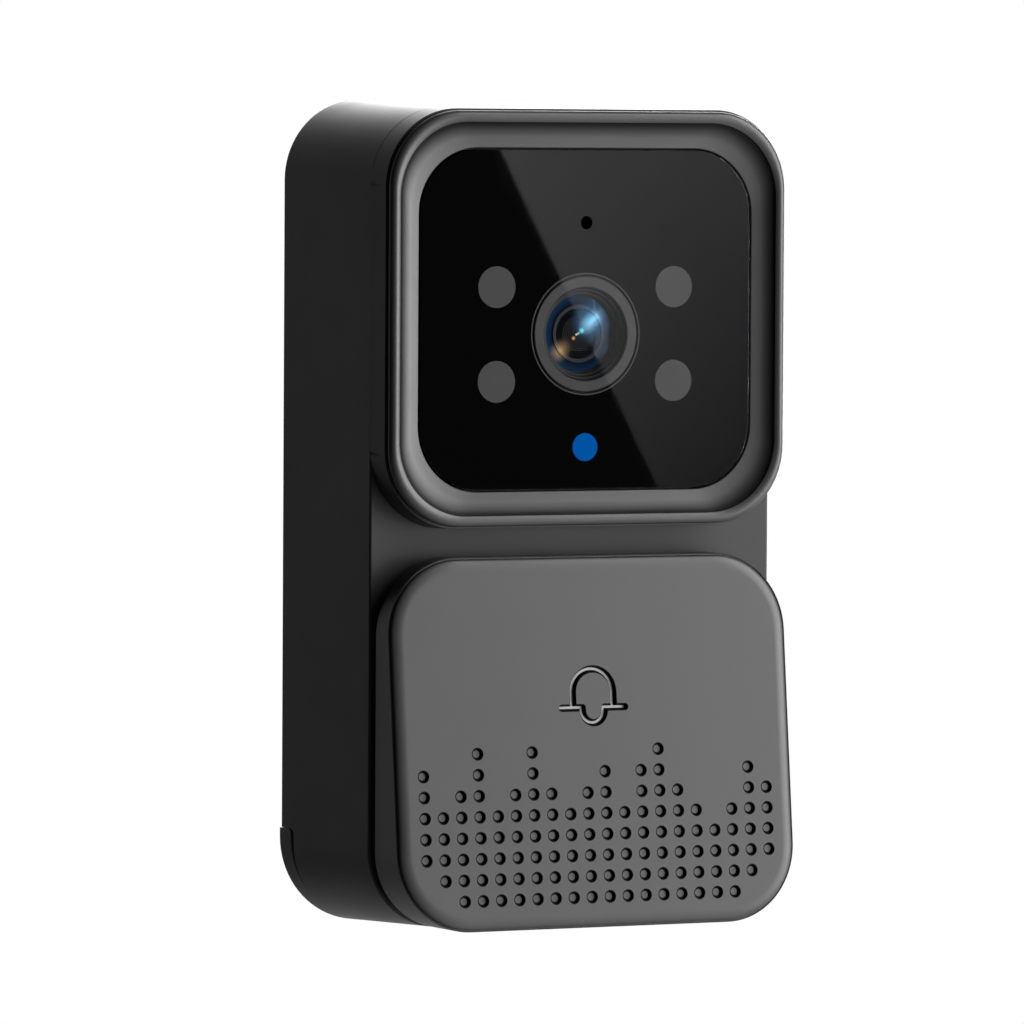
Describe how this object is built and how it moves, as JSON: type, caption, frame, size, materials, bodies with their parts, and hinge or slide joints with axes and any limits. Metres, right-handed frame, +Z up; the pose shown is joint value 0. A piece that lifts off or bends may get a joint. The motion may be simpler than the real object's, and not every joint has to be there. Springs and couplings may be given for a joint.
{
  "type": "video doorbell",
  "caption": "Wall-mounted video doorbell: a deep rounded body with a camera window in a coved bezel above a large sloping push plate with a sound grille.",
  "frame": {"origin": "middle of the wall bracket's flat back, on the wall", "axes": "+Z up, +Y into the wall so that the front faces -Y, +X to the right when facing the doorbell"},
  "size_m": [0.0478, 0.027, 0.0852],
  "materials": {
    "casing": "fine matte moulded plastic",
    "bezel": "satin moulded plastic",
    "push_plate": "fine matte moulded plastic",
    "bracket": "matte moulded plastic",
    "window": "smoked gloss glass",
    "mask": "black baffle",
    "infrared_window": "grey infrared diffuser",
    "lens_metal": "satin dark ring",
    "lens_glass": "blue-coated lens glass",
    "filter_glass": "reddish filter glass",
    "sensor": "sensor package",
    "inner_plastic": "plain moulded plastic",
    "status": "blue light pipe",
    "board": "green solder mask",
    "light_source": "clear and cream package",
    "steel": "plated steel",
    "rubber": "matte silicone",
    "paper": "pressed paper cone",
    "magnet": "plated magnet",
    "battery_wrap": "silver pouch foil",
    "red_lead": "red insulation",
    "black_lead": "black insulation",
    "white_plug": "natural nylon",
    "copper_film": "copper film",
    "mesh": "black dust mesh"
  },
  "bodies": {
    "bracket": {"wall_bracket": "bracket"},
    "lock_screw": {"lock_screw": "steel"},
    "housing": {"front_shell": "casing", "rear_cover": "inner_plastic", "cover_seal": "rubber", "cover_screw_1": "steel", "cover_screw_2": "steel", "cover_screw_3": "steel", "cover_screw_4": "steel", "camera_bezel": "bezel", "front_window": "window", "window_gasket": "rubber", "window_mask": "mask", "ir_window_1": "infrared_window", "ir_window_2": "infrared_window", "ir_window_3": "infrared_window", "ir_window_4": "infrared_window", "ir_led_1": "light_source", "ir_led_2": "light_source", "ir_led_3": "light_source", "ir_led_4": "light_source", "ir_led_board": "board", "lens_trim_ring": "lens_metal", "lens_front_glass": "lens_glass", "lens_barrel": "inner_plastic", "lens_inner_element": "lens_glass", "lens_holder": "inner_plastic", "image_sensor": "sensor", "camera_board": "board", "camera_connector": "white_plug", "status_light_pipe": "status", "status_led": "light_source", "mic_boot": "rubber", "microphone": "steel", "main_board": "board", "board_screw_1": "steel", "board_screw_2": "steel", "board_screw_3": "steel", "board_screw_4": "steel", "wifi_shield": "steel", "processor_chip": "inner_plastic", "wifi_antenna": "copper_film", "antenna_lead": "black_lead", "speaker_gasket": "rubber", "speaker_frame": "inner_plastic", "speaker_cone": "paper", "speaker_magnet": "magnet", "battery_pack": "battery_wrap", "battery_plug": "white_plug", "battery_lead_red": "red_lead", "battery_lead_black": "black_lead", "call_switch": "inner_plastic", "reset_switch": "inner_plastic", "usb_socket": "steel"},
    "button": {"call_button": "push_plate", "speaker_mesh": "mesh"},
    "switch_plunger": {"switch_plunger": "white_plug"},
    "ir_cut_filter": {"ir_cut_filter": "filter_glass"},
    "port_flap": {"port_flap": "rubber"},
    "reset_button": {"reset_button": "white_plug"}
  },
  "joints": [
    {"name": "lift_off", "type": "slide", "parent": "bracket", "child": "housing", "axis": [0, 0, 1], "range_m": [0, 0.005]},
    {"name": "lock_screw_out", "type": "slide", "parent": "bracket", "child": "lock_screw", "axis": [0, 0, -1], "range_m": [0, 0.006]},
    {"name": "button_press", "type": "slide", "parent": "housing", "child": "button", "axis": [0, 1, 0], "range_m": [0, 0.0006], "stiffness_N_per_m": 800, "springref_m": -0.001},
    {"name": "plunger_press", "type": "slide", "parent": "housing", "child": "switch_plunger", "axis": [0, 1, 0], "range_m": [0, 0.0006]},
    {"name": "ir_filter_slide", "type": "slide", "parent": "housing", "child": "ir_cut_filter", "axis": [1, 0, 0], "range_m": [0, 0.0064]},
    {"name": "flap_open", "type": "hinge", "parent": "housing", "child": "port_flap", "pos_m": [-0.0065, -0.0131, -0.0415], "axis": [0, 1, 0], "range_deg": [0, 100]},
    {"name": "reset_press", "type": "slide", "parent": "housing", "child": "reset_button", "axis": [0, 0, 1], "range_m": [0, 0.0003], "stiffness_N_per_m": 500, "springref_m": -0.001}
  ],
  "couplings": [
    {"joint": "plunger_press", "follows": "button_press", "ratio": 1}
  ]
}
